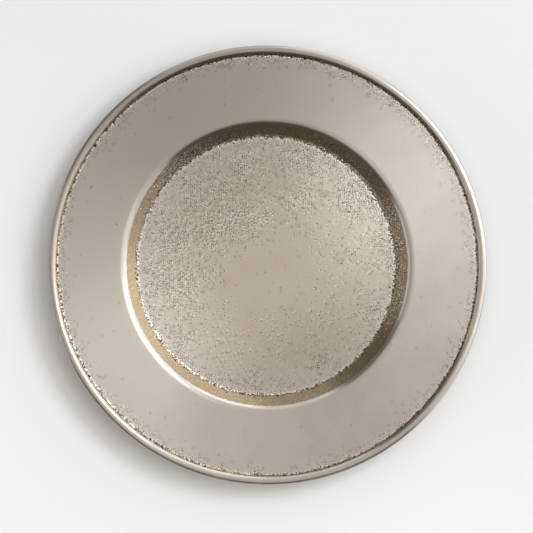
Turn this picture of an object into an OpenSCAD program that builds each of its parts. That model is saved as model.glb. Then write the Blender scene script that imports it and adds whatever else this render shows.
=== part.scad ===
// Charger plate: one round metal casting on four small foot pads.
// The casting is a wall of even thickness that runs from the well's floor, over a rolled
// shoulder and a broad rim, up a short step to a raised edge with a rounded crown. The whole
// shape is one section turned about the Z axis.
// The origin is the centre of the base, on the surface that the pads stand on. +Z is up.

/* [Plate] */
// Diameter over the raised edge
plate_d = 330; // [300:1:380]
// Thickness of the cast wall
wall_t = 3; // [2:0.1:3.4]

/* [Well] */
// Diameter of the well's flat floor
floor_d = 196; // [150:0.5:230]
// Depth of the floor below the inner edge of the rim
well_depth = 9; // [7:0.5:14]
// Slope of the well's side, in degrees above level
well_slope = 40; // [30:1:55]
// Bend radius of the upper surface where the floor meets the well's side
floor_bend_r = 4.5; // [1:0.5:6]
// Bend radius of the upper surface on the rolled shoulder, where the side meets the rim
shoulder_bend_r = 7; // [4:0.5:11]

/* [Rim] */
// Height that the rim gains from the shoulder to the step
rim_rise = 1.3; // [0:0.1:6]
// Slope of the step's inner face, in degrees above level
step_slope = 45; // [40:1:55]
// Bend radius of the upper surface where the rim meets the step
step_bend_r = 0.8; // [0.4:0.1:2]

/* [Raised edge] */
// Radius of the crown that rolls over from the step to the outer face
crown_r = 3.5; // [2.4:0.1:4.2]
// Height of the crown's top above the outer edge of the rim
crown_rise = 2.9; // [2.4:0.1:3.6]
// Slope at which the crown ends, towards the outer face, in degrees below level
crown_end_slope = 52; // [40:1:60]
// Length of the straight from the crown's end to the corner of the outer face
crown_leg = 0.2; // [0.1:0.1:0.8]
// Radius of the corner between the crown and the upright outer face
upper_corner_r = 0.5; // [0.1:0.1:0.6]
// Height of the edge from its underside to the crown's top
edge_h = 4; // [3.4:0.1:4.6]
// Radius of the lower corner of the outer face
lower_corner_r = 0.8; // [0.2:0.1:1.2]

/* [Foot pads] */
// Number of pads under the base
pad_count = 4; // [3:1:6]
// Diameter of one pad
pad_d = 12; // [8:0.5:20]
// Thickness of one pad
pad_t = 2; // [1:0.1:4]
// Radius of a pad's rounded lower edge
pad_edge_r = 0.5; // [0.2:0.1:0.9]
// Distance from the edge of the flat base to the pads
pad_inset = 6; // [2:0.5:20]
// Angle of the first pad round the base, in degrees
pad_turn = 45; // [0:5:90]

/* [Hidden] */

// Largest angle and length of one facet when the true curves are drawn as a mesh
$fa = 2;
$fs = 0.4;
// Largest angle and least length of one chord where a bend of the section is drawn with points
chord_angle = 5;
chord_min = 0.15;

// Colours, as red, green and blue shares
plate_colour_share = [0.71, 0.69, 0.64];
pad_colour_share = [0.16, 0.15, 0.14];

plate_r = plate_d / 2;
floor_z = pad_t + wall_t;
rim_z = floor_z + well_depth;
rim_end_z = rim_z + rim_rise;

// Corners of the upper surface from the axis outwards, as [radius, height], before they are bent
axis_point = [0, floor_z];
floor_edge = [floor_d / 2, floor_z];
rim_inner = [floor_d / 2 + well_depth / tan(well_slope), rim_z];

// The crown's slope runs on over the straight, to where it would meet the outer face
corner_reach = crown_leg + upper_corner_r * tan((90 - crown_end_slope) / 2);
crown_inset = crown_r * sin(crown_end_slope) + corner_reach * cos(crown_end_slope);
crown_centre = [plate_r - crown_inset, rim_end_z + crown_rise - crown_r];
crown_start = crown_centre + crown_r * across(step_slope);
rim_outer = crown_start - (crown_start.y - rim_end_z) * [1 / tan(step_slope), 1];

// Where the step's face and the crown's last slope would meet
crown_corner = crown_centre
    + crown_r / cos((step_slope + crown_end_slope) / 2)
    * across((step_slope - crown_end_slope) / 2);
upper_corner = [
    plate_r,
    crown_centre.y + crown_r * cos(crown_end_slope) - corner_reach * sin(crown_end_slope)
];
lower_corner = [plate_r, crown_centre.y + crown_r - edge_h];

// The edge's underside runs in to where it meets the underside of the step
step_under = crown_start - wall_t * across(step_slope);
edge_root = step_under - (step_under.y - lower_corner.y) * [1 / tan(step_slope), 1];

corners = [
    axis_point, floor_edge, rim_inner, rim_outer,
    crown_corner, upper_corner, lower_corner, edge_root
];
bend_radii = [
    0, floor_bend_r, shoulder_bend_r, step_bend_r,
    crown_r, upper_corner_r, lower_corner_r, 0
];
// The wall has an underside of its own up to the bend at the step's foot
step_corner = 3;
edge_corner = len(corners) - 2;

// Radius of the base's flat underside, out to where the floor's bend starts
base_flat_r = floor_edge.x - setback(1);

function pad_name(i) = str("foot_pad_", i);

function along(angle) = [cos(angle), sin(angle)];
function across(angle) = [-sin(angle), cos(angle)];

// Angle above level of the straight leg from corner i to the next one
function leg_angle(i) = atan2(corners[i + 1].y - corners[i].y, corners[i + 1].x - corners[i].x);

// How far the surface turns at corner i: positive where it turns up, negative where it turns down
function turn(i) = (leg_angle(i) - leg_angle(i - 1) + 540) % 360 - 180;

// Distance from corner i back to where its bend meets the straight legs
function setback(i) = bend_radii[i] == 0 ? 0 : bend_radii[i] * tan(abs(turn(i)) / 2);

// Centre of the arc that rounds corner i: above a surface that turns up, below one that turns down
function bend_centre(i) =
    corners[i] - setback(i) * along(leg_angle(i - 1))
    + sign(turn(i)) * bend_radii[i] * across(leg_angle(i - 1));

// Radius of that arc on the surface that lies at the given depth under the upper one
function bend_radius(i, depth) = bend_radii[i] + sign(turn(i)) * depth;

// Direction from the arc's centre to the point a share of the way round it
function bend_direction(i, share) = leg_angle(i - 1) - sign(turn(i)) * 90 + share * turn(i);

// Number of chords that draw the arc
function bend_length(i) = bend_radii[i] * abs(turn(i)) * PI / 180;
function bend_steps(i) = ceil(min(abs(turn(i)) / chord_angle, bend_length(i) / chord_min));

// Points round corner i, on the surface at the given depth
function bend_points(i, depth) = [
    for (k = [0 : bend_steps(i)])
        bend_centre(i) + bend_radius(i, depth) * along(bend_direction(i, k / bend_steps(i)))
];

// The wall's surface at the given depth under the upper one, from the axis to the given corner
function surface_points(depth, last) = concat(
    [corners[0] - depth * across(leg_angle(0))],
    [for (i = [1 : last]) each bend_points(i, depth)]
);

function reversed(points) = [for (k = [len(points) - 1 : -1 : 0]) points[k]];

// The casting's section, to the right of the axis: the upper surface and the outer face, the
// root of the edge, and the underside back to the axis
module plate_section() {
    polygon(reversed(concat(
        surface_points(0, edge_corner),
        [edge_root],
        reversed(surface_points(wall_t, step_corner))
    )));
}

// The casting: floor, well, shoulder, rim, step and raised edge in one piece
module plate() {
    color(plate_colour_share)
        rotate_extrude()
            plate_section();
}

// A pad's section: a flat disc with its lower edge rounded
module pad_section() {
    translate([0, pad_edge_r]) square([pad_d / 2, pad_t - pad_edge_r]);
    square([pad_d / 2 - pad_edge_r, pad_t]);
    translate([pad_d / 2 - pad_edge_r, pad_edge_r]) circle(r = pad_edge_r);
}

// One of the soft pads stuck to the flat base, evenly spaced round its edge
module foot_pad(i) {
    color(pad_colour_share)
        rotate([0, 0, pad_turn + 360 * (i - 1) / pad_count])
            translate([base_flat_r - pad_inset - pad_d / 2, 0, 0])
                rotate_extrude()
                    pad_section();
}

plate();
for (i = [1:pad_count]) {
    foot_pad(i);
}
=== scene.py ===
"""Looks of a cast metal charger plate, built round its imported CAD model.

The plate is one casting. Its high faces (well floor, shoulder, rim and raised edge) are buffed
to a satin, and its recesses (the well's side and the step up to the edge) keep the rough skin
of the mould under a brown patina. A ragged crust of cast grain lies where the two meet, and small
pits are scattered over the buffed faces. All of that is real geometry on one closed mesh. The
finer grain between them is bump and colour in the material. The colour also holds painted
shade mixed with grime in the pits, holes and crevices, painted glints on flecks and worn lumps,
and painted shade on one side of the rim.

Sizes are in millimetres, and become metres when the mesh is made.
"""
import math

import bpy
import numpy as np
from mathutils import Matrix, Vector
from mathutils.geometry import delaunay_2d_cdt


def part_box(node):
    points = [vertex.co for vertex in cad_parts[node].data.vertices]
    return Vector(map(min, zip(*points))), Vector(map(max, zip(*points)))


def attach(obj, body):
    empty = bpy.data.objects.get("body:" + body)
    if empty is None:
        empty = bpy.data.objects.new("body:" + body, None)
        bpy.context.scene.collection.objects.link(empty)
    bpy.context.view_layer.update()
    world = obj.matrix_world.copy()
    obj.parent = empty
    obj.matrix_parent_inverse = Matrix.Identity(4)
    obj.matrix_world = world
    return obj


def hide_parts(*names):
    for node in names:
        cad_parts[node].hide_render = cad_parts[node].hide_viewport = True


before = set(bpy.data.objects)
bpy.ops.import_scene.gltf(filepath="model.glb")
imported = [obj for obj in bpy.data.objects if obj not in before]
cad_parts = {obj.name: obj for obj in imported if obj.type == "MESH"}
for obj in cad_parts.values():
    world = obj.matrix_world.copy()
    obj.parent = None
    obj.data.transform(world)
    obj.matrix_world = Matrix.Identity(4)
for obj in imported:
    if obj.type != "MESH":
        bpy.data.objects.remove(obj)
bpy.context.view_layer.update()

MM = 0.001
SEED = 11

# The plate's section, as the CAD model has it
WALL = 3.0
FLOOR_R = 98.0
WELL_DEPTH = 9.0
WELL_SLOPE = math.radians(40)
FLOOR_BEND_R = 4.5
SHOULDER_BEND_R = 7.0
RIM_RISE = 1.3
STEP_SLOPE = math.radians(45)
STEP_BEND_R = 0.8
CROWN_R = 3.5
CROWN_END_SLOPE = math.radians(52)
CROWN_LEG = 0.2
EDGE_H = 4.0
UPPER_CORNER_R = 0.5
LOWER_CORNER_R = 0.8

# Mesh density: points round each smooth ring, points along each curve of the section, and
# distances between points
SMOOTH_COUNT = 480
UNDER_COUNT = 192
CROWN_STATIONS = 15
CORNER_STATIONS = 4
ARC_STATIONS = 24
FLOOR_SPACING = 2.4
SKIN_SPACING = 0.8
CRUST_SPACING = 0.56
SHOULDER_SPACING = 0.9
RIM_SPACING = 3.0
UNDER_SPACING = 6.0
# Scattered points: how far each is shaken, and how far apart the rows lie, as shares of the
# spacing, and the fewest points in a row
SHAKE = 0.28
ROW_SHARE = 0.87
FEWEST_IN_ROW = 6
# How far plain and scattered points stay from each other and from a recess's upper end, and how
# far the skin's first row lies from the crust, as a share of the skin's spacing
PLAIN_GAP = 0.4
END_GAP = 0.5
FIRST_ROW = 0.8
# Underside: distance of the first plain ring, how far the rings stay from the axis and from the
# root of the edge, which of the section's own stations are used, and up to which distance a
# third of the points is enough
UNDER_FIRST = 4.0
UNDER_GAP = 1.0
ROOT_GAP = 0.8
UNDER_STRIDE = 6
UNDER_INNER = 60.0

# Where the rough skin starts and ends and where the rim starts, as distances from the axis
FLOOR_FOOT_R = 97.85
SHOULDER_R = 106.2
RIM_START_R = 113.2
STEP_FOOT_R = 158.1
# The patina reaches a little farther in on one side of the well's floor
FLOOR_SWAY = 0.9
FLOOR_SWAY_SIDE = math.radians(222)

# Slight unevenness of the hand-buffed faces: height and size of the waves
WAVES = [(0.014, 17.0), (0.006, 7.0)]

# Crust of cast grain at the foot of each recess: how far it reaches in and out, the size of its
# cells, and how far and how finely the line of the foot wanders
CRUST_IN = 2.6
CRUST_OUT = 1.1
CRUST_MARGIN = 0.9
CRUST_CELL = 0.85
CRUST_WOBBLE = 0.5
WOBBLE_SIZE = 3.2
# It is thickest a little inwards of the foot and fades over a width to both sides
CRUST_PEAK = 0.3
CRUST_WIDTH = 1.1
# Largest share of its cells that are holes, and distances past the foot between which the other
# cells go from all buffed to none
HOLE_SHARE = 0.36
BUFFED_FROM = -1.6
BUFFED_TO = 0.5
# Reach of a cell's lump and width of the crevice round it, as shares of the cell
LUMP_REACH = 0.6
CREVICE_WIDTH = 0.25
# Depth of the deepest hole and of the shallowest as a share of it, height of the domes, and
# depth of their crevices as a share of that
CRUST_DEPTH = 0.3
SHALLOWEST = 0.4
DOME_H = 0.2
CREVICE_DEPTH = 0.8
# Grime with painted shade in the crevices, and the least of it in the holes, from 0 to 1
CREVICE_GRIME_AND_SHADE = 0.3
LEAST_GRIME_AND_SHADE = 0.6
# Rough skin: height, size of its unevenness, and size and strength of the coarser places
SKIN_H = 0.035
SKIN_SIZE = 0.9
COARSE_SIZE = 26.0
COARSE_GAIN = 1.8
# The lumps with a painted glint lie in a band inwards of the foot, with some left without it
GLEAM_INSET = 1.1
GLEAM_WIDTH = 0.8
GLEAM_GAPS = 0.3
GLEAM = 0.9
LEAST_GLEAM = 0.4
# Slopes in degrees between which the metal goes from satin to the bends' smoother polish
POLISH_BEND = (3, 12)
# How far down from a recess's upper end the patina is partly buffed away, and how near that end
# it starts
SHOULDER_FADE = 0.8
STEP_FADE = 1.2
PATINA_END = 0.2
# Distances from that end over which the relief comes in
RELIEF_FADE = (0.1, 0.8)


def along(angle):
    return np.array([math.cos(angle), math.sin(angle)])


def across(angle):
    return np.array([-math.sin(angle), math.cos(angle)])


class Line:
    """A surface of the turned section: radius, height and slope as functions of the distance
    along it from the axis."""

    def __init__(self, points, slopes):
        points = np.array(points)
        steps = np.hypot(*np.diff(points, axis=0).T)
        self.s = np.concatenate([[0.0], np.cumsum(steps)])
        self.r, self.z = points.T
        self.slope = np.array(slopes)
        self.end = self.s[-1]

    def at(self, s):
        return (np.interp(s, self.s, self.r), np.interp(s, self.s, self.z),
                np.interp(s, self.s, self.slope))

    def distance_at(self, radius):
        return float(np.interp(radius, self.r, self.s))


def bent_path(corners, bends, depth=0.0, stations=ARC_STATIONS):
    """Points and slopes along a surface at a depth under the upper one, from the upper one's
    corners, that bends round off."""
    corners = [np.array(c) for c in corners]
    slopes = [math.atan2(*(b - a)[::-1]) for a, b in zip(corners, corners[1:])]
    points = [corners[0] - depth * across(slopes[0])]
    tilts = [slopes[0]]
    for corner, bend, before, after in zip(corners[1:], bends, slopes, slopes[1:]):
        turn = (after - before + math.pi) % (2 * math.pi) - math.pi
        side = math.copysign(1, turn)
        setback = bend * math.tan(abs(turn) / 2)
        centre = corner - setback * along(before) + side * bend * across(before)
        for share in np.linspace(0, 1, stations):
            tilt = before + share * turn
            points.append(centre + (bend + side * depth) * along(tilt - side * math.pi / 2))
            tilts.append(tilt)
    points.append(corners[-1] - depth * across(slopes[-1]))
    tilts.append(slopes[-1])
    return points, tilts


def plate_lines():
    """The upper surface up to the crown, the raised edge, and the underside up to the edge."""
    low, high = (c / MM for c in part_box("plate"))
    outer_r = min(-low.x, -low.y, high.x, high.y)
    floor_z = low.z + WALL
    rim_z = floor_z + WELL_DEPTH

    reach = CROWN_LEG + UPPER_CORNER_R * math.tan((math.pi / 2 - CROWN_END_SLOPE) / 2)
    inset = CROWN_R * math.sin(CROWN_END_SLOPE) + reach * math.cos(CROWN_END_SLOPE)
    crown = np.array([outer_r - inset, high.z - CROWN_R])
    start = crown + CROWN_R * across(STEP_SLOPE)
    foot = start - (start[1] - rim_z - RIM_RISE) * np.array([1 / math.tan(STEP_SLOPE), 1])
    shoulder = [FLOOR_R + WELL_DEPTH / math.tan(WELL_SLOPE), rim_z]
    corners = [[0.0, floor_z], [FLOOR_R, floor_z], shoulder, foot, start]
    bends = [FLOOR_BEND_R, SHOULDER_BEND_R, STEP_BEND_R]
    upper = Line(*bent_path(corners, bends))

    under_start = start - WALL * across(STEP_SLOPE)
    lower_z = high.z - EDGE_H
    root = under_start - (under_start[1] - lower_z) * np.array([1 / math.tan(STEP_SLOPE), 1])
    points, tilts = bent_path(corners, bends, WALL)
    points[-1] = root
    under = Line(points, tilts)

    turns = np.linspace(STEP_SLOPE, -CROWN_END_SLOPE, CROWN_STATIONS)
    edge = [crown + CROWN_R * across(turn) for turn in turns]
    upper_corner = crown + CROWN_R * across(-CROWN_END_SLOPE) + reach * along(-CROWN_END_SLOPE)
    upper_corner[0] = outer_r
    face, _ = bent_path([edge[-1], upper_corner, [outer_r, lower_z], root],
                        [UPPER_CORNER_R, LOWER_CORNER_R], stations=CORNER_STATIONS)
    edge.extend(face[1:])
    return upper, np.array(edge), under


def smooth_rings(start, end, spacing, count):
    """Rings of evenly spaced points, each turned half a step against the one before."""
    rings = max(1, round((end - start) / spacing))
    found = []
    for k, s in enumerate(np.linspace(start, end, rings + 1)):
        turn = (np.arange(count) + 0.5 * (k % 2)) * 2 * math.pi / count
        found.append(np.column_stack([np.full(count, s), turn]))
    return np.concatenate(found)


def even_ring(s, count):
    return np.column_stack([np.full(count, s), np.arange(count) * 2 * math.pi / count])


def scattered_rings(line, start, end, spacing, rng):
    """Points about one spacing apart, shaken so that no rows show."""
    found = []
    rings = max(1, round((end - start) / (spacing * ROW_SHARE)))
    for s in np.linspace(start, end, rings + 1):
        count = max(FEWEST_IN_ROW, round(2 * math.pi * line.at(s)[0] / spacing))
        turn = (np.arange(count) + rng.uniform()) * 2 * math.pi / count
        turn += rng.uniform(-SHAKE, SHAKE, count) * 2 * math.pi / count
        shaken = s + rng.uniform(-SHAKE, SHAKE, count) * spacing
        found.append(np.column_stack([shaken, turn]))
    return np.concatenate(found)


class Cells:
    """A mosaic of irregular cells, each with random values of its own. It repeats after SIDE
    cells, which is more than the plate holds."""

    SIDE = 1024

    def __init__(self, size, seed):
        rng = np.random.default_rng(seed)
        self.size = size
        self.offset = rng.uniform(0.1, 0.9, (self.SIDE, self.SIDE, 2))
        self.value = rng.uniform(0, 1, (self.SIDE, self.SIDE))
        self.other = rng.uniform(0, 1, (self.SIDE, self.SIDE))

    def at(self, xy):
        """Distance to the nearest cell's seed and how much nearer it is than the next one, both
        as shares of the cell size, and that cell's two values."""
        base = np.floor(xy / self.size).astype(int)
        first = np.full(len(xy), np.inf)
        second = np.full(len(xy), np.inf)
        value, other = np.zeros(len(xy)), np.zeros(len(xy))
        for dx in (-1, 0, 1):
            for dy in (-1, 0, 1):
                cell = base + [dx, dy]
                i, j = (cell % self.SIDE).T
                gap = np.hypot(*(cell + self.offset[i, j] - xy / self.size).T)
                near = gap < first
                second = np.where(near, first, np.minimum(second, gap))
                value = np.where(near, self.value[i, j], value)
                other = np.where(near, self.other[i, j], other)
                first = np.where(near, gap, first)
        return first, second - first, value, other


def smooth_noise(xy, size, seed):
    """Soft noise from -1 to 1, with blobs of about the given size."""
    side = 256
    grid = np.random.default_rng(seed).uniform(-1, 1, (side, side))
    base = np.floor(xy / size).astype(int)
    part = xy / size - base
    ease = part * part * (3 - 2 * part)
    corner = [[grid[(base[:, 0] + a) % side, (base[:, 1] + b) % side] for b in (0, 1)]
              for a in (0, 1)]
    low = corner[0][0] * (1 - ease[:, 0]) + corner[1][0] * ease[:, 0]
    high = corner[0][1] * (1 - ease[:, 0]) + corner[1][1] * ease[:, 0]
    return low * (1 - ease[:, 1]) + high * ease[:, 1]


def flat_xy(points):
    """The unrolled surface: distance along the section as radius."""
    return np.column_stack([points[:, 0] * np.cos(points[:, 1]),
                            points[:, 0] * np.sin(points[:, 1])])


def ramp(x, low, high):
    """Smooth rise from 0 to 1."""
    share = np.clip((x - low) / (high - low), 0, 1)
    return share * share * (3 - 2 * share)


def at_least(low, share):
    """A share from 0 to 1, squeezed into the span from low to 1."""
    return low + (1 - low) * share


def waviness(xy):
    """Slight unevenness of the hand-buffed faces."""
    (broad_h, broad), (fine_h, fine) = WAVES
    return broad_h * smooth_noise(xy, broad, SEED + 1) + fine_h * smooth_noise(xy, fine, SEED + 2)


def past_foot(points, foot, sway):
    """Distance past the wandering foot of a recess, negative inwards of it."""
    past = points[:, 0] - foot + CRUST_WOBBLE * smooth_noise(flat_xy(points), WOBBLE_SIZE, SEED + 3)
    return past - sway * np.cos(points[:, 1] - FLOOR_SWAY_SIDE)


def skin_height(xy, lump, other):
    """Relief of the rough skin, coarser in some places than in others."""
    coarse = 1 + COARSE_GAIN * ramp(smooth_noise(xy, COARSE_SIZE, SEED + 6), 0.0, 0.5)
    uneven = 0.6 * smooth_noise(xy, SKIN_SIZE, SEED + 4)
    return SKIN_H * coarse * (lump * (0.5 + other) - 0.4 + uneven)


def grain_relief(points, cells, foot, end, fade_length, sway):
    """Height, patina, grime with painted shade, and painted glint of a recess and of the crust at
    its foot. Inwards of the foot, more and more of the cells are buffed bright. Round the foot,
    many are deep holes darkened with grime and painted shade, and the worn lumps just inwards of
    them carry a painted glint."""
    xy = flat_xy(points)
    near, edge, value, other = cells.at(xy)
    past = past_foot(points, foot, sway)
    crust = np.exp(-((past + CRUST_PEAK) / CRUST_WIDTH) ** 2)
    hole = value < HOLE_SHARE * crust
    buffed = ~hole & (other > ramp(past, BUFFED_FROM, BUFFED_TO))
    lump = np.clip(1 - (near / LUMP_REACH) ** 2, 0, 1)
    crevice = np.clip(1 - edge / CREVICE_WIDTH, 0, 1)

    bottom = -CRUST_DEPTH * at_least(SHALLOWEST, other)
    dome = DOME_H * crust * (lump - CREVICE_DEPTH * crevice)
    height = np.where(hole, bottom, np.where(buffed, dome, skin_height(xy, lump, other)))
    left = end - points[:, 0]
    # Grime with painted shade darkens the crevices round the domes and fills the holes
    crevice_grime_and_shade = CREVICE_GRIME_AND_SHADE * crevice * crust
    patina = np.where(buffed, crevice_grime_and_shade, 1.0) * ramp(left, PATINA_END, fade_length)
    soot = np.where(hole, at_least(LEAST_GRIME_AND_SHADE, other), crevice_grime_and_shade)
    # Painted glint on the worn lumps in a band inwards of the foot
    worn = np.exp(-((past + GLEAM_INSET) / GLEAM_WIDTH) ** 2)
    painted_glint = GLEAM * worn * at_least(LEAST_GLEAM, lump)
    painted_glint = np.where(buffed & (value > GLEAM_GAPS), painted_glint, 0.0)
    fade = ramp(left, *RELIEF_FADE)
    return height * fade, patina, soot * fade, painted_glint


# Pits: how far apart they stay and how far the plain points stay from them, as shares of their
# radii, how deep they are, and how much their sizes vary
PIT_GAP = 1.15
PIT_CLEAR = 1.35
PIT_DEPTHS = (0.35, 0.6)
PIT_VARIATION = 0.3
# How far the points of a pit are shaken round it, as a share of a step, and in and out
PIT_TWIST = 0.2
PIT_REACH = (0.8, 1.15)
# The share that are raised specks instead, and their height as a share of a pit's depth
RAISED_SHARE = 0.06
RAISED_HEIGHT = 0.25
# Pits over this radius have more points
LARGE_PIT_R = 0.42
# Grime with painted shade on a pit's lip, as a share of that in its middle
LIP_GRIME_AND_SHADE = 0.15
# How far inwards of a crust its pits reach on average
EDGE_FALL = 2.5
# Side of the squares in which near places are looked up
BUCKET = 1.6


def bucket_of(x, y):
    return int(x // BUCKET), int(y // BUCKET)


def near_entries(table, x, y):
    """What the table holds for the bucket of a place and for those round it."""
    i, j = bucket_of(x, y)
    for di in (-1, 0, 1):
        for dj in (-1, 0, 1):
            yield from table.get((i + di, j + dj), ())


class Pits:
    """Small pits and raised specks, each with its own few points in the mesh."""

    def __init__(self, rng):
        self.rng = rng
        self.taken = {}
        self.points, self.heights, self.soot, self.lip = [], [], [], []
        self.centres, self.radii = [], []

    def room(self, x, y, radius):
        """Whether a place is free. It is taken from then on."""
        for cx, cy, cr in near_entries(self.taken, x, y):
            if math.hypot(x - cx, y - cy) < PIT_GAP * (radius + cr):
                return False
        self.taken.setdefault(bucket_of(x, y), []).append((x, y, radius))
        return True

    def add(self, x, y, size):
        """A pit of about the given radius, or now and then a raised speck, if there is room."""
        rng = self.rng
        radius = size * rng.lognormal(0, PIT_VARIATION)
        raised = rng.uniform() < RAISED_SHARE
        if not self.room(x, y, radius):
            return
        large = radius > LARGE_PIT_R
        depth = radius * rng.uniform(*PIT_DEPTHS)
        if raised:
            depth *= -RAISED_HEIGHT
        turn = rng.uniform(0, 2 * math.pi)
        # Number of points, share of the radius, height, and grime with painted shade of each ring
        rings = [(8 if large else 6, 1.0, 0.0, LIP_GRIME_AND_SHADE),
                 (5 if large else 3, 0.5, -depth * 0.85, 1.0)]
        if large:
            rings.append((1, 0.0, -depth, 1.0))
        for count, share, height, dark in rings:
            for k in range(count):
                angle = turn + 2 * math.pi * (k + rng.uniform(-PIT_TWIST, PIT_TWIST)) / count
                reach = radius * share * rng.uniform(*PIT_REACH)
                self.points.append((x + reach * math.cos(angle), y + reach * math.sin(angle)))
                self.heights.append(height)
                self.soot.append(0.0 if raised else dark)
                self.lip.append(share == 1.0)
        self.centres.append((x, y))
        self.radii.append(radius)

    def patch(self, centre, spread, count, size, end):
        """Pits gathered round one place, inside the end of the floor."""
        for _ in range(count):
            x, y = self.rng.normal(centre, spread)
            if 0 < math.hypot(x, y) < end:
                self.add(x, y, size)

    def along_edge(self, angle, spread, count, size, end):
        """Pits just inwards of a crust, on one side of the plate."""
        for _ in range(count):
            turn = math.radians(self.rng.normal(angle, spread))
            radius = end - self.rng.exponential(EDGE_FALL)
            self.add(radius * math.cos(turn), radius * math.sin(turn), size)

    def sprinkle(self, count, size, low, high):
        """Pits anywhere between two distances from the axis."""
        for _ in range(count):
            radius = math.sqrt(self.rng.uniform(low ** 2, high ** 2))
            angle = self.rng.uniform(0, 2 * math.pi)
            self.add(radius * math.cos(angle), radius * math.sin(angle), size)

    def clear_of(self, xy):
        """Which points stay, being far enough from every pit."""
        keep = np.ones(len(xy), bool)
        table = {}
        for i, (x, y) in enumerate(xy):
            table.setdefault(bucket_of(x, y), []).append(i)
        for (cx, cy), radius in zip(self.centres, self.radii):
            for k in near_entries(table, cx, cy):
                if math.hypot(xy[k][0] - cx, xy[k][1] - cy) < PIT_CLEAR * radius:
                    keep[k] = False
        return keep


# Where the pits gather on the well's floor: angle in degrees, distance from the axis, spread
# and strength. They lie thick round the upper and left sides, thin at the centre and towards
# the lower right.
FLOOR_PATCHES = [
    (38, 88, 13, 1.0), (70, 84, 14, 0.8), (100, 76, 15, 0.6), (132, 72, 15, 0.9),
    (162, 74, 14, 0.9), (190, 74, 14, 1.0), (218, 84, 10, 0.5), (262, 88, 9, 0.35),
    (300, 86, 9, 0.4), (340, 90, 8, 0.5), (12, 90, 9, 0.6), (118, 40, 15, 0.8),
    (150, 52, 14, 0.7), (185, 48, 11, 0.4), (62, 55, 12, 0.5), (240, 72, 24, 0.22),
    (320, 66, 24, 0.2), (0, 66, 22, 0.25),
]
# Grain along the crust: angle, spread in degrees and strength
FLOOR_EDGE = [(45, 30, 1.0), (90, 30, 0.7), (0, 30, 0.7), (150, 60, 0.6), (240, 60, 0.6),
              (310, 40, 0.5)]
RIM_EDGE = [(50, 28, 1.0), (92, 22, 0.9), (0, 30, 0.6), (135, 30, 0.6), (180, 30, 0.5),
            (228, 28, 0.7), (275, 30, 0.5), (320, 30, 0.6)]
# How far that grain reaches inwards on the floor and on the rim, and outwards on both
FLOOR_EDGE_REACH = 8.0
RIM_EDGE_REACH = 4.5
OUTER_REACH = 0.9
# Grain on the well's side, down from the shoulder by a gap
WALL_GRAIN = [(128, 15, 0.9), (345, 12, 0.8), (15, 22, 0.55), (60, 20, 0.35)]
SHOULDER_GAP = 1.5
# Strength of the thin grain that lies all over the floor, and distances from the axis between
# which it comes in
FLOOR_GRAIN = 0.22
FLOOR_GRAIN_FROM = 12
FLOOR_GRAIN_TO = 50
# Size of the patches in which all grain is thicker or thinner, and by how much
GRAIN_PATCH = 9.0
GRAIN_SWAY = 0.5
# Numbers of pits at strength 1, radii of the pits, and numbers of those that lie anywhere
PITS_PER_PATCH = 150
PITS_PER_EDGE = 65
PATCH_PIT = 0.29
EDGE_PIT = 0.26
LOOSE_PIT = 0.25
LONE_PIT = 0.24
LOOSE_ON_FLOOR = 110
LONE_AT_CENTRE = 14
LONE_ON_RIM = 16
# Shares of the floor's radius from which the loose pits lie, and up to which the lone ones do
LOOSE_FROM = 0.35
LONE_TO = 0.4


def patch_centres(patches):
    for angle, radius, spread, strength in patches:
        turn = math.radians(angle)
        yield radius * np.array([math.cos(turn), math.sin(turn)]), spread, strength


def sided(points, parts):
    """A strength that is high on some sides of the plate: angle, spread in degrees, strength."""
    total = np.zeros(len(points))
    for angle, spread, strength in parts:
        gap = (np.degrees(points[:, 1]) - angle + 180) % 360 - 180
        total = np.maximum(total, strength * np.exp(-0.5 * (gap / spread) ** 2))
    return total


def edge_grain(points, foot, reach, parts):
    """Grain that fades slowly inwards from the crust and quickly outwards."""
    inwards = foot - points[:, 0]
    fade = np.exp(-np.abs(inwards) / np.where(inwards > 0, reach, OUTER_REACH))
    return sided(points, parts) * fade


def grain_at(points, floor_foot, shoulder, step_foot):
    """How thickly small pits lie at each point, from 0 to 1."""
    xy = flat_xy(points)
    total = np.zeros(len(points))
    for centre, spread, strength in patch_centres(FLOOR_PATCHES):
        gap = np.hypot(*(xy - centre).T)
        total = np.maximum(total, strength * np.exp(-0.5 * (gap / spread) ** 2))
    thin = FLOOR_GRAIN * ramp(points[:, 0], FLOOR_GRAIN_FROM, FLOOR_GRAIN_TO)
    total = np.where(points[:, 0] < floor_foot, np.maximum(total, thin), 0)
    total = np.maximum(total, edge_grain(points, floor_foot, FLOOR_EDGE_REACH, FLOOR_EDGE))
    total = np.maximum(total, edge_grain(points, step_foot, RIM_EDGE_REACH, RIM_EDGE))
    wall = (points[:, 0] > floor_foot) & (points[:, 0] < shoulder - SHOULDER_GAP)
    total = np.maximum(total, np.where(wall, sided(points, WALL_GRAIN), 0))
    return np.clip(total * (1 + GRAIN_SWAY * smooth_noise(xy, GRAIN_PATCH, SEED + 7)), 0, 1)


def scatter_pits(floor_end, rim_start, rim_end, rng):
    pits = Pits(rng)
    for centre, spread, strength in patch_centres(FLOOR_PATCHES):
        pits.patch(centre, spread, round(PITS_PER_PATCH * strength), PATCH_PIT, floor_end)
    pits.sprinkle(LOOSE_ON_FLOOR, LOOSE_PIT, LOOSE_FROM * floor_end, floor_end)
    pits.sprinkle(LONE_AT_CENTRE, LONE_PIT, 0, LONE_TO * floor_end)
    for end, parts in ((floor_end, FLOOR_EDGE), (rim_end, RIM_EDGE)):
        for angle, spread, strength in parts:
            pits.along_edge(angle, spread, round(PITS_PER_EDGE * strength), EDGE_PIT, end)
    pits.sprinkle(LONE_ON_RIM, LONE_PIT, rim_start, rim_end)
    return pits


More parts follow.
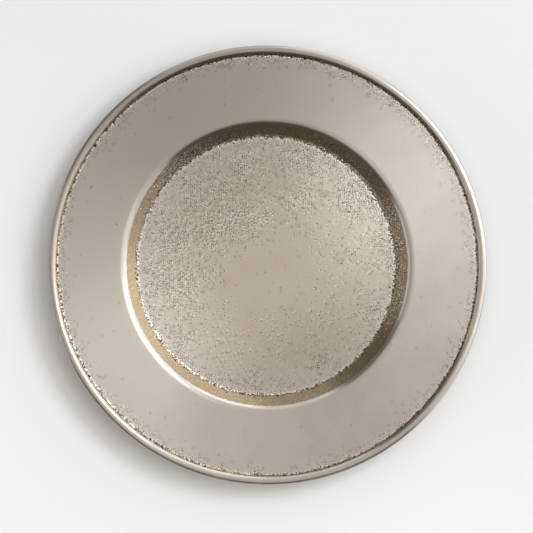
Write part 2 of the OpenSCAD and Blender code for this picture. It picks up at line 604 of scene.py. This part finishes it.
def delaunay(xy):
    """Triangles over scattered points, as indices, counter-clockwise."""
    _, _, found, originals, *_ = delaunay_2d_cdt([Vector(p) for p in xy.tolist()], [], [], 0, 1e-7)
    source = np.array([o[0] for o in originals])
    faces = source[np.array(found)]
    a, b, c = (xy[faces[:, k]] for k in range(3))
    turn = (b - a)[:, 0] * (c - a)[:, 1] - (b - a)[:, 1] * (c - a)[:, 0]
    faces[turn < 0] = faces[turn < 0][:, ::-1]
    return faces


def buffed_points(line, floor_end, shoulder, rim, rim_end, pits, rng):
    """Points of the smooth faces between the pits."""
    found = np.concatenate([
        np.zeros((1, 2)),
        scattered_rings(line, FLOOR_SPACING, floor_end - PLAIN_GAP, FLOOR_SPACING, rng),
        smooth_rings(shoulder + PLAIN_GAP, rim, SHOULDER_SPACING, SMOOTH_COUNT),
        smooth_rings(rim + RIM_SPACING, rim_end - PLAIN_GAP, RIM_SPACING, SMOOTH_COUNT),
    ])
    return found[pits.clear_of(flat_xy(found))]


def recess_points(line, start, foot, end, rng):
    """Points of a crust, from its start, and of the rough skin beyond it."""
    crust = scattered_rings(line, start, foot + CRUST_OUT, CRUST_SPACING, rng)
    skin_start = foot + CRUST_OUT + SKIN_SPACING * FIRST_ROW
    skin = scattered_rings(line, skin_start, end - END_GAP, SKIN_SPACING, rng)
    return np.concatenate([crust, skin])


def upper_cap(line, rng):
    """Points of the upper surface out to the crown, with their height, patina, grime with painted
    shade, painted glint, whether they are a pit's lip, and grain. The last ring comes first,
    because the edge shares it."""
    floor_foot = line.distance_at(FLOOR_FOOT_R)
    shoulder = line.distance_at(SHOULDER_R)
    rim = line.distance_at(RIM_START_R)
    step_foot = line.distance_at(STEP_FOOT_R)
    floor_end = floor_foot - CRUST_IN - CRUST_MARGIN
    rim_end = step_foot - CRUST_IN - CRUST_MARGIN

    ring = even_ring(line.end, SMOOTH_COUNT)
    pits = scatter_pits(floor_end, rim + 1, rim_end, rng)
    buffed = buffed_points(line, floor_end, shoulder, rim, rim_end, pits, rng)
    pit_xy = np.array(pits.points)
    pit_points = np.column_stack([np.hypot(*pit_xy.T), np.arctan2(pit_xy[:, 1], pit_xy[:, 0])])
    parts = [
        (ring, *np.zeros((5, len(ring)))),
        (buffed, waviness(flat_xy(buffed)), *np.zeros((4, len(buffed)))),
        (pit_points, waviness(pit_xy) + pits.heights, np.zeros(len(pit_xy)),
         np.array(pits.soot), np.zeros(len(pit_xy)), np.array(pits.lip)),
    ]
    cells = Cells(CRUST_CELL, SEED + 5)
    for start, foot, end, *shape in (
            (floor_end, floor_foot, shoulder, SHOULDER_FADE, FLOOR_SWAY),
            (rim_end, step_foot, line.end, STEP_FADE, 0.0)):
        points = recess_points(line, start, foot, end, rng)
        parts.append((points, *grain_relief(points, cells, foot, end, *shape),
                      np.zeros(len(points))))
    points, heights, patina, soot, painted_glint, lip = (np.concatenate(x) for x in zip(*parts))
    grain = grain_at(points, floor_foot, shoulder, step_foot)
    return points, heights, patina, soot, painted_glint, lip > 0, grain


def under_cap(line):
    """Points of the underside, in plain rings. The ring that the edge shares comes first."""
    bends = (line.s > UNDER_GAP) & (line.s < line.end - ROOT_GAP)
    stations = np.unique(np.concatenate([
        np.arange(UNDER_FIRST, line.end - UNDER_GAP, UNDER_SPACING),
        line.s[bends][::UNDER_STRIDE],
    ]))
    rings = [even_ring(line.end, SMOOTH_COUNT), np.zeros((1, 2))]
    for k, s in enumerate(stations):
        count = UNDER_COUNT if s > UNDER_INNER else UNDER_COUNT // 3
        rings.append(even_ring(s, count) + [0, math.pi * (k % 2) / count])
    return np.concatenate(rings)


def lifted(line, points, heights, side):
    """Points on the surface of revolution, raised along its normal. side is 1 on the upper
    surface and -1 on the underside."""
    r, z, slope = line.at(points[:, 0])
    r = r - side * heights * np.sin(slope)
    z = z + side * heights * np.cos(slope)
    return np.column_stack([r * np.cos(points[:, 1]), r * np.sin(points[:, 1]), z])


def band_faces(first, second, count):
    """Quads between two rings of equally many points, given their first indices."""
    k = np.arange(count)
    n = (k + 1) % count
    return np.column_stack([first + k, second + k, second + n, first + n])


# Centre and radius of each disc in the map for baked textures
TOP_DISC = (0.405, 0.4)
UNDER_DISC = (0.82, 0.17)


def bake_map(mesh, upper, edge, under, top_points, low_points, low_start):
    """A map for baked textures: the upper surface and the edge as one disc, and the underside
    as a smaller one, both with the distance along the section as radius."""
    edge_reach = upper.end + np.cumsum(np.hypot(*np.diff(edge, axis=0).T))
    rings = [even_ring(reach, SMOOTH_COUNT) for reach in edge_reach]
    low_rest = np.zeros((len(low_points) - SMOOTH_COUNT, 2))
    top = flat_xy(np.concatenate([top_points, *rings, low_rest]))
    top = TOP_DISC[0] + top * TOP_DISC[1] / edge_reach[-1]
    low = flat_xy(np.concatenate([np.zeros((low_start, 2)), low_points]))
    low = UNDER_DISC[0] + low * UNDER_DISC[1] / under.end

    corners = np.empty(len(mesh.loops), np.int32)
    mesh.loops.foreach_get("vertex_index", corners)
    sizes = np.empty(len(mesh.polygons), np.int32)
    mesh.polygons.foreach_get("loop_total", sizes)
    face = np.repeat(np.arange(len(sizes)), sizes)
    lowest = np.full(len(sizes), len(top))
    np.minimum.at(lowest, face, corners)
    beneath = lowest >= low_start
    place = np.where(beneath[face][:, None], low[corners], top[corners])
    layer = mesh.uv_layers.new(name="OFBake")
    layer.data.foreach_set("uv", place.astype(np.float32).ravel())


def true_normals(line, points, side):
    """Normals of the surface of revolution. side is 1 on the upper surface and -1 beneath."""
    slope = line.at(points[:, 0])[2]
    return side * np.column_stack([-np.sin(slope) * np.cos(points[:, 1]),
                                   -np.sin(slope) * np.sin(points[:, 1]), np.cos(slope)])


def set_normals(mesh, chosen, true):
    """Gives the chosen points the normals of the smooth surface. At the lips of the pits, the
    steep sides would otherwise shade the metal round them, and on the underside the thin
    triangles would show."""
    normals = np.empty(len(mesh.vertices) * 3, np.float32)
    mesh.vertex_normals.foreach_get("vector", normals)
    normals = normals.reshape(-1, 3)
    normals[chosen] = true[chosen]
    mesh.normals_split_custom_set_from_vertices(normals.tolist())


def edge_points(edge):
    """The raised edge's rings between the one that it shares with the upper surface and the one
    that it shares with the underside."""
    turn = even_ring(0.0, SMOOTH_COUNT)[:, 1]
    return np.concatenate([
        np.column_stack([r * np.cos(turn), r * np.sin(turn), np.full(SMOOTH_COUNT, z)])
        for r, z in edge[1:-1]
    ])


def edge_faces(ring_count, edge_start, low_start):
    firsts = [0, *(edge_start + k * SMOOTH_COUNT for k in range(ring_count - 2)), low_start]
    return np.concatenate([band_faces(a, b, SMOOTH_COUNT) for a, b in zip(firsts, firsts[1:])])


def add_marks(mesh, marks, rest_count):
    """Each mark as an attribute: its values on the upper surface, and one value elsewhere."""
    for name, (top_values, elsewhere) in marks.items():
        layer = mesh.attributes.new(name, "FLOAT", "POINT")
        rest = np.full(rest_count, elsewhere)
        layer.data.foreach_set("value", np.concatenate([top_values, rest]).astype(np.float32))


def plate_mesh():
    """The whole casting: upper surface, raised edge and underside, joined at shared rings."""
    rng = np.random.default_rng(SEED)
    upper, edge, under = plate_lines()
    top_points, top_h, top_patina, top_soot, top_painted_glint, lip, top_grain = upper_cap(upper, rng)
    low_points = under_cap(under)
    top_xyz = lifted(upper, top_points, top_h, 1)
    low_xyz = lifted(under, low_points, np.zeros(len(low_points)), -1)
    edge_xyz = edge_points(edge)
    edge_start = len(top_xyz)
    low_start = edge_start + len(edge_xyz)

    top_faces = delaunay(flat_xy(top_points))
    low_faces = delaunay(flat_xy(low_points))[:, ::-1] + low_start
    quads = edge_faces(len(edge), edge_start, low_start)
    mesh = bpy.data.meshes.new("charger")
    xyz = np.concatenate([top_xyz, edge_xyz, low_xyz])
    mesh.from_pydata((xyz * MM).tolist(), [],
                     [*top_faces.tolist(), *low_faces.tolist(), *quads.tolist()])
    mesh.validate()

    bent = np.degrees(np.abs(upper.at(top_points[:, 0])[2]))
    add_marks(mesh, {
        "patina": (top_patina, 0), "soot": (top_soot, 0), "painted_glint": (top_painted_glint, 0),
        "grain": (top_grain, 0), "polish": (ramp(bent, *POLISH_BEND), 1),
    }, len(xyz) - edge_start)
    mesh.polygons.foreach_set("use_smooth", np.ones(len(mesh.polygons), bool))
    bake_map(mesh, upper, edge, under, top_points, low_points, low_start)
    mesh.update()

    # The first ring of the underside keeps the normals of its corner with the edge
    beneath = np.arange(len(low_points)) >= SMOOTH_COUNT
    set_normals(mesh, np.concatenate([lip, np.zeros(len(edge_xyz), bool), beneath]),
                np.concatenate([true_normals(upper, top_points, 1), np.zeros(edge_xyz.shape),
                                true_normals(under, low_points, -1)]))
    return mesh


class Nodes:
    """A short way to write a node tree."""

    def __init__(self, material):
        material.use_nodes = True
        self.tree = material.node_tree
        self.tree.nodes.clear()

    def add(self, kind, **settings):
        node = self.tree.nodes.new(kind)
        inputs = settings.pop("inputs", {})
        for name, value in settings.items():
            setattr(node, name, value)
        for name, value in inputs.items():
            if isinstance(value, bpy.types.NodeSocket):
                self.tree.links.new(value, node.inputs[name])
            else:
                node.inputs[name].default_value = value
        return node

    def math(self, operation, a, b):
        node = self.add("ShaderNodeMath", operation=operation, inputs={0: a, 1: b})
        return node.outputs[0]

    def mix(self, share, a, b):
        """A mix of two colours."""
        node = self.add("ShaderNodeMix", data_type="RGBA", inputs={0: share, 6: a, 7: b})
        return node.outputs[2]

    def blend(self, share, a, b):
        """A mix of two numbers."""
        node = self.add("ShaderNodeMix", data_type="FLOAT", inputs={0: share, 2: a, 3: b})
        return node.outputs[0]

    def level(self, place, angle):
        """Distance along a level direction, given in degrees from +X towards +Y."""
        turn = math.radians(angle)
        return self.add("ShaderNodeVectorMath", operation="DOT_PRODUCT", inputs={
            0: place, 1: (math.cos(turn), math.sin(turn), 0.0)}).outputs["Value"]

    def noise(self, coordinates, blob, detail=2.0):
        """Noise with blobs of about the given size in millimetres."""
        node = self.add("ShaderNodeTexNoise", inputs={
            "Vector": coordinates, "Scale": 1 / (blob * MM), "Detail": detail,
            "Roughness": 0.5})
        return node.outputs[0]

    def clouds(self, coordinates, blob, detail=2.0, low=0.0, high=1.0):
        """Noise that is stretched to run from low to high."""
        return self.fitted(self.noise(coordinates, blob, detail), 0.3, 0.7, low, high)

    def fitted(self, value, low, high, to_low=0.0, to_high=1.0):
        """A smooth change from one value to another while the given value goes from low to
        high."""
        node = self.add("ShaderNodeMapRange", interpolation_type="SMOOTHSTEP", inputs={
            "Value": value, "From Min": low, "From Max": high, "To Min": to_low,
            "To Max": to_high})
        return node.outputs[0]

    def attribute(self, name):
        return self.add("ShaderNodeAttribute", attribute_name=name).outputs["Fac"]


def colour(red, green, blue):
    """An sRGB colour, 0 to 255, as the linear values that a socket takes."""
    linear = []
    for part in (red, green, blue):
        share = part / 255
        linear.append(share / 12.92 if share <= 0.04045 else ((share + 0.055) / 1.055) ** 2.4)
    return (*linear, 1.0)


# Colours of the metal
RIM_TONES = (colour(198, 193, 186), colour(207, 202, 195))
# Painted shade for one side of the rim
RIM_SHADE = colour(180, 175, 166)
FLOOR_TONES = (colour(197, 187, 174), colour(194, 188, 173))
WELL_BROWNS = (colour(146, 129, 104), colour(168, 151, 126))
STEP_BROWN = colour(156, 132, 98)
# Painted glint on flecks and on worn lumps
GLINT_WHITE = colour(242, 239, 233)
# Grime with painted shade for the small pits, and for the holes and crevices of the crust
PIT_GRIME_AND_SHADE = colour(48, 38, 24)
GRIME_AND_SHADE_COLOUR = colour(36, 30, 22)
# Sizes in millimetres of the clouds of colour and of satin, and of the buffing marks
RIM_CLOUD = 32.0
FLOOR_CLOUD = 24.0
BROWN_CLOUD = 1.2
SATIN_CLOUD = 22.0
BUFFING_MARK = 0.35
# Distances from the axis, in metres, over which one zone of the metal passes into the next
CENTRE_TO_RIM = (0.0, 0.13)
FLOOR_TO_RIM = (0.06, 0.13)
FLOOR_TO_WALL = (0.1, 0.105)
WALL_TO_RIM = (0.09, 0.115)
RIM_TO_STEP = (0.15, 0.155)
LOOSE_BUFFING = (0.0, 0.1)
# Where painted shade makes the rim a little darker, in degrees from +X towards +Y, and over which
# distance
SHADED_SIDE_ANGLE = 140
SHADED_SIDE_SPAN = (-0.15, 0.15)
# Ragged edge of the patina and the specks in which it is worn through: size in millimetres and
# strength, the span of noise that is worn, and the span over which the patina comes in
RAGGED_SIZE = 0.9
RAGGED = 0.6
SPECK_SIZE = 0.8
SPECK = 0.9
SPECK_SPAN = (0.64, 0.72)
PATINA_SPAN = (0.35, 0.6)
# Small marks: the cells' size in millimetres, and the least and greatest radius as shares of it
FINE_PITS = (0.85, 0.26, 0.46)
BROAD_PITS = (1.45, 0.28, 0.46)
GLINT_FLECKS = (1.4, 0.28, 0.47)
# The full strength of a mark reaches this share of its radius
MARK_CORE = 0.35
# Share of the cells with a mark where the grain is thickest, and with a lone fine pit where
# there is none, on the floor and on the rim
FINE_DENSITY = 0.5
BROAD_DENSITY = 0.7
GLINT_FLECK_DENSITY = 0.9
LONE_DENSITY = (0.014, 0.005)
# Grain over which the broad pits and the flecks of painted glint become thicker
THICKENING = (0.05, 0.9)
# How strongly a pit's grime and painted shade and a fleck's painted glint colour the metal
PIT_TINT = 0.85
GLINT_FLECK_TINT = 0.8
# Bump, as sizes and heights in millimetres: tooth of the buffed metal where the grain is thin and
# thick, tooth of the patina, lumps where the grain is thick, and pits
TOOTH_SIZE = 0.5
TOOTH = (0.006, 0.06)
PATINA_TOOTH = 0.05
LUMP_SIZE = 1.0
LUMPS = 0.12
PIT_BUMP = 0.06
# Roughness of the satin at the centre and on the rim, how much it varies, and of the bends and
# the patina
SATIN = (0.31, 0.42)
SATIN_SWAY = 0.025
BEND_ROUGHNESS = 0.28
PATINA_ROUGHNESS = 0.36
ANISOTROPY = 0.75
# A quarter turn, so that highlights stretch along the radius, and the greatest loose turn
BUFFING_TURN = 0.25
LOOSE_TURN = 1.4


def small_marks(n, place, density, cell, least, greatest):
    """Small round marks, from 0 to 1. Each cell has one where its own random number is under the
    density. Its radius lies between the least and the greatest, which are shares of a cell."""
    mosaic = n.add("ShaderNodeTexVoronoi", voronoi_dimensions="2D", feature="F1", inputs={
        "Vector": place, "Scale": 1 / (cell * MM)})
    parts = n.add("ShaderNodeSeparateColor", inputs={"Color": mosaic.outputs["Color"]})
    reach = n.fitted(parts.outputs["Green"], 0.0, 1.0, least, greatest)
    share = n.math("DIVIDE", mosaic.outputs["Distance"], reach)
    mark = n.fitted(share, MARK_CORE, 1.0, 1.0, 0.0)
    present = n.math("LESS_THAN", parts.outputs["Red"], density)
    return n.math("MULTIPLY", mark, present)


def patina_share(n, place):
    """Brown patina with a ragged edge, worn through in specks."""
    centred = n.math("SUBTRACT", n.noise(place, RAGGED_SIZE), 0.5)
    ragged = n.math("ADD", n.attribute("patina"), n.math("MULTIPLY", centred, RAGGED))
    worn = n.fitted(n.noise(place, SPECK_SIZE, detail=1.0), *SPECK_SPAN, 0.0, SPECK)
    return n.fitted(n.math("SUBTRACT", ragged, worn), *PATINA_SPAN)


def grain_marks(n, place, radius, grain):
    """Small pits darkened with grime and painted shade, and bright flecks of painted glint, as
    thick as the grain lies.
    """
    lone = n.fitted(radius, *FLOOR_TO_WALL, *LONE_DENSITY)
    fine = small_marks(n, place, n.fitted(grain, 0.0, 1.0, lone, FINE_DENSITY), *FINE_PITS)
    thick = n.fitted(grain, *THICKENING, 0.0, BROAD_DENSITY)
    pit = n.math("MAXIMUM", fine, small_marks(n, place, thick, *BROAD_PITS))
    return pit, small_marks(n, place, n.fitted(grain, *THICKENING, 0.0, GLINT_FLECK_DENSITY), *GLINT_FLECKS)


def rim_colour(n, place, radius):
    """The buffed rim, with painted shade that makes one side a little darker than the other."""
    tone = n.mix(n.clouds(place, RIM_CLOUD, detail=3.0), *RIM_TONES)
    side = n.fitted(n.level(place, SHADED_SIDE_ANGLE), *SHADED_SIDE_SPAN)
    # Painted shade darkens the rim on one side
    rim_shade = n.math("MULTIPLY", side, n.fitted(radius, *WALL_TO_RIM))
    return n.mix(rim_shade, tone, RIM_SHADE)


def metal_colour(n, place, radius, patina, pit, glint_fleck):
    floor = n.mix(n.fitted(n.noise(place, FLOOR_CLOUD), 0.35, 0.65), *FLOOR_TONES)
    buffed = n.mix(n.fitted(radius, *FLOOR_TO_RIM), floor, rim_colour(n, place, radius))
    brown = n.mix(n.clouds(place, BROWN_CLOUD, detail=3.0), *WELL_BROWNS)
    brown = n.mix(n.fitted(radius, *RIM_TO_STEP), brown, STEP_BROWN)
    base = n.mix(patina, buffed, brown)
    # Painted glint on flecks and on worn lumps
    bright = n.math("MAXIMUM", n.math("MULTIPLY", glint_fleck, GLINT_FLECK_TINT), n.attribute("painted_glint"))
    base = n.mix(bright, base, GLINT_WHITE)
    # Grime with painted shade in the small pits, then in the holes and crevices
    base = n.mix(n.math("MULTIPLY", pit, PIT_TINT), base, PIT_GRIME_AND_SHADE)
    return n.mix(n.attribute("soot"), base, GRIME_AND_SHADE_COLOUR)


def metal_roughness(n, place, radius, patina):
    sway = n.clouds(place, SATIN_CLOUD, low=-SATIN_SWAY, high=SATIN_SWAY)
    satin = n.math("ADD", n.fitted(radius, *CENTRE_TO_RIM, *SATIN), sway)
    satin = n.blend(n.attribute("polish"), satin, BEND_ROUGHNESS)
    return n.blend(patina, satin, PATINA_ROUGHNESS)


def buffing_turn(n, place, radius):
    """The buffing marks run round the plate, but lie every way near its centre."""
    loose = n.fitted(radius, *LOOSE_BUFFING, LOOSE_TURN, 0.0)
    centred = n.math("SUBTRACT", n.noise(place, BUFFING_MARK, detail=0.0), 0.5)
    return n.math("ADD", n.math("MULTIPLY", centred, loose), BUFFING_TURN)


def metal_bump(n, place, patina, grain, pit):
    """The finest relief: tooth, low lumps where the grain is thick, and pits."""
    coarse = n.blend(patina, n.fitted(grain, 0.0, 0.8, *TOOTH), PATINA_TOOTH)
    tooth = n.math("MULTIPLY", n.noise(place, TOOTH_SIZE), coarse)
    lumps = n.math("MULTIPLY", n.noise(place, LUMP_SIZE, detail=1.0),
                   n.fitted(grain, 0.1, 1.0, 0.0, LUMPS))
    height = n.math("SUBTRACT", n.math("ADD", tooth, lumps), n.math("MULTIPLY", pit, PIT_BUMP))
    return n.add("ShaderNodeBump", inputs={"Strength": 1.0, "Distance": MM, "Height": height})


def pewter():
    material = bpy.data.materials.new("antiqued_pewter")
    n = Nodes(material)
    place = n.add("ShaderNodeTexCoord").outputs["Object"]
    radius = n.add("ShaderNodeVectorMath", operation="LENGTH", inputs={0: place}).outputs["Value"]
    grain = n.attribute("grain")
    patina = patina_share(n, place)
    pit, glint_fleck = grain_marks(n, place, radius, grain)
    tangent = n.add("ShaderNodeTangent", direction_type="RADIAL", axis="Z")
    shader = n.add("ShaderNodeBsdfPrincipled", inputs={
        "Base Color": metal_colour(n, place, radius, patina, pit, glint_fleck), "Metallic": 1.0,
        "Roughness": metal_roughness(n, place, radius, patina), "Anisotropic": ANISOTROPY,
        "Anisotropic Rotation": buffing_turn(n, place, radius), "Tangent": tangent.outputs[0],
        "Normal": metal_bump(n, place, patina, grain, pit).outputs[0]})
    n.add("ShaderNodeOutputMaterial", inputs={"Surface": shader.outputs[0]})
    return material


RUBBER_TONES = (colour(44, 41, 38), colour(58, 54, 50))
RUBBER_ROUGHNESS = (0.68, 0.82)
# Sizes in millimetres of its mottling and of its grain
RUBBER_MOTTLE = 2.5
RUBBER_GRAIN = 0.4


def rubber():
    material = bpy.data.materials.new("pad_rubber")
    n = Nodes(material)
    place = n.add("ShaderNodeTexCoord").outputs["Object"]
    mottle = n.noise(place, RUBBER_MOTTLE, detail=3.0)
    bump = n.add("ShaderNodeBump", inputs={"Strength": 0.4, "Distance": 0.05 * MM,
                                           "Height": n.noise(place, RUBBER_GRAIN)})
    shader = n.add("ShaderNodeBsdfPrincipled", inputs={
        "Base Color": n.mix(n.fitted(mottle, 0.3, 0.7), *RUBBER_TONES),
        "Roughness": n.fitted(mottle, 0.2, 0.8, *RUBBER_ROUGHNESS), "Normal": bump.outputs[0]})
    n.add("ShaderNodeOutputMaterial", inputs={"Surface": shader.outputs[0]})
    return material


FLOOR_SIDE = 12.0
PAPER_TONES = (colour(234, 236, 239), colour(252, 252, 253))
# Where painted light makes the floor palest, in degrees from +X towards +Y, and over which distance
PAINTED_LIGHT_ANGLE = 242
PAINTED_LIGHT_SPAN = (-0.14, 0.22)
# White that the camera and reflections see on top of the light that falls on the floor
GLOW = 0.03


def paper():
    """The pale floor, with painted light that makes it a little brighter towards the viewer."""
    material = bpy.data.materials.new("pale_floor")
    n = Nodes(material)
    place = n.add("ShaderNodeTexCoord").outputs["Object"]
    # Painted light: the floor is paler towards the lower left
    tone = n.mix(n.fitted(n.level(place, PAINTED_LIGHT_ANGLE), *PAINTED_LIGHT_SPAN), *PAPER_TONES)
    rays = n.add("ShaderNodeLightPath").outputs
    seen = n.math("MAXIMUM", rays["Is Camera Ray"], rays["Is Glossy Ray"])
    seen = n.math("MAXIMUM", seen, rays["Is Transmission Ray"])
    shader = n.add("ShaderNodeBsdfPrincipled", inputs={
        "Base Color": tone, "Roughness": 0.9, "Specular IOR Level": 0.2,
        "Emission Color": (1.0, 1.0, 1.0, 1.0),
        "Emission Strength": n.math("MULTIPLY", seen, GLOW)})
    n.add("ShaderNodeOutputMaterial", inputs={"Surface": shader.outputs[0]})
    return material


def make_floor():
    half = FLOOR_SIDE / 2
    mesh = bpy.data.meshes.new("floor")
    mesh.from_pydata([(-half, -half, 0), (half, -half, 0), (half, half, 0), (-half, half, 0)],
                     [], [(0, 1, 2, 3)])
    floor = bpy.data.objects.new("floor", mesh)
    floor.data.materials.append(paper())
    bpy.context.scene.collection.objects.link(floor)


def make_plate():
    plate = bpy.data.objects.new("charger", plate_mesh())
    plate.data.materials.append(pewter())
    bpy.context.scene.collection.objects.link(plate)
    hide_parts("plate")
    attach(plate, "root")


def finish_pads():
    material = rubber()
    for name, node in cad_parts.items():
        if name.startswith("foot_pad"):
            node.data.materials.clear()
            node.data.materials.append(material)


# The photograph's frame, in its pixels, and the plate's place in it
FRAME_PX = 533
CENTRE_PX = (267.2, 265.2)
PLATE_PX = 439.8
# The photograph was taken from nearly overhead, a little towards the lower left
CAMERA_DISTANCE = 3.4
CAMERA_AZIMUTH = math.radians(215)
CAMERA_TILT = math.radians(4)
SENSOR = 36.0


def make_camera():
    """A camera nearly overhead, with +Y up in the picture, and with a lens at which the plate
    fills the same share of the frame as in the photograph."""
    low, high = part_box("plate")
    metres_per_px = (high.x - low.x) / PLATE_PX
    aim = Vector(((FRAME_PX / 2 - CENTRE_PX[0]) * metres_per_px,
                  (CENTRE_PX[1] - FRAME_PX / 2) * metres_per_px, high.z - EDGE_H / 2 * MM))
    # A tilted camera sees the near half of a circle larger, so the outline's middle lies there
    lean = high.x ** 2 * math.sin(CAMERA_TILT) / CAMERA_DISTANCE
    aim += lean * Vector((math.cos(CAMERA_AZIMUTH), math.sin(CAMERA_AZIMUTH), 0))
    camera = bpy.data.cameras.new("camera")
    camera.sensor_width = SENSOR
    camera.lens = SENSOR * CAMERA_DISTANCE / (FRAME_PX * metres_per_px)
    made = bpy.data.objects.new("camera", camera)
    back = Vector((math.cos(CAMERA_AZIMUTH) * math.sin(CAMERA_TILT),
                   math.sin(CAMERA_AZIMUTH) * math.sin(CAMERA_TILT), math.cos(CAMERA_TILT)))
    right = Vector((0, 1, 0)).cross(back).normalized()
    made.matrix_world = Matrix((right, back.cross(right), back)).transposed().to_4x4()
    made.location = aim + back * CAMERA_DISTANCE
    bpy.context.scene.collection.objects.link(made)
    bpy.context.scene.camera = made


WHITE = (1.0, 1.0, 1.0)
COOL = (0.97, 0.99, 1.0)
WARM = (1.0, 0.94, 0.87)
DUSK = (1.0, 0.84, 0.64)
# Strength of the dim room round the lamps
ROOM = 0.025
# Lamps: azimuth from +X towards +Y and elevation in degrees, distance, width and height in
# metres, radiance and tint
LAMPS = {
    # The window side, from the east round to the north
    "key": (32, 41, 4.8, 2.6, 1.5, 7.4, COOL),
    "low_wall": (40, 12, 4.8, 9.0, 1.6, 2.0, COOL),
    "sweep_east": (-13, 24, 4.8, 4.6, 3.0, 1.1, WHITE),
    "sweep_north": (86, 24, 4.8, 5.0, 3.0, 1.1, WHITE),
    "east_mid": (0, 31, 4.5, 2.6, 1.4, 1.0, WHITE),
    "east_high": (0, 63, 4.5, 1.7, 1.2, 1.6, WHITE),
    "north_east_high": (45, 63, 4.5, 1.7, 1.2, 1.3, WHITE),
    # Cards that fill the other side
    "north_west_card": (135, 14, 4.5, 4.6, 1.3, 0.2, WHITE),
    "west_card": (180, 18, 4.8, 4.4, 1.6, 1.2, WHITE),
    "south_west_high": (225, 63, 4.5, 1.7, 1.2, 0.6, WHITE),
    # A large round one straight above
    "ceiling": (0, 90, 3.7, 7.9, 7.9, 0.65, WARM),
}
ROUND_LAMPS = ("ceiling",)


def make_lamp(name, azimuth, elevation, distance, width, height, radiance, tint):
    """A soft lamp that faces the plate."""
    data = bpy.data.lights.new(name, "AREA")
    data.shape = "ELLIPSE" if name in ROUND_LAMPS else "RECTANGLE"
    data.size = width
    data.size_y = height
    area = width * height * (math.pi / 4 if name in ROUND_LAMPS else 1)
    data.energy = radiance * math.pi * area
    data.color = tint
    lamp = bpy.data.objects.new(name, data)
    a, e = math.radians(azimuth), math.radians(elevation)
    back = Vector((math.cos(a) * math.cos(e), math.sin(a) * math.cos(e), math.sin(e)))
    lamp.location = back * distance
    lamp.rotation_mode = "QUATERNION"
    lamp.rotation_quaternion = (-back).to_track_quat("-Z", "Y")
    bpy.context.scene.collection.objects.link(lamp)


def make_world():
    """A dim room round the lamps."""
    world = bpy.data.worlds.new("studio")
    world.use_nodes = True
    room = world.node_tree.nodes["Background"]
    room.inputs["Color"].default_value = (*DUSK, 1.0)
    room.inputs["Strength"].default_value = ROOM
    bpy.context.scene.world = world


make_camera()
make_plate()
finish_pads()
make_floor()
for lamp_name, lamp_values in LAMPS.items():
    make_lamp(lamp_name, *lamp_values)
make_world()
bpy.context.scene.view_settings.view_transform = "Standard"
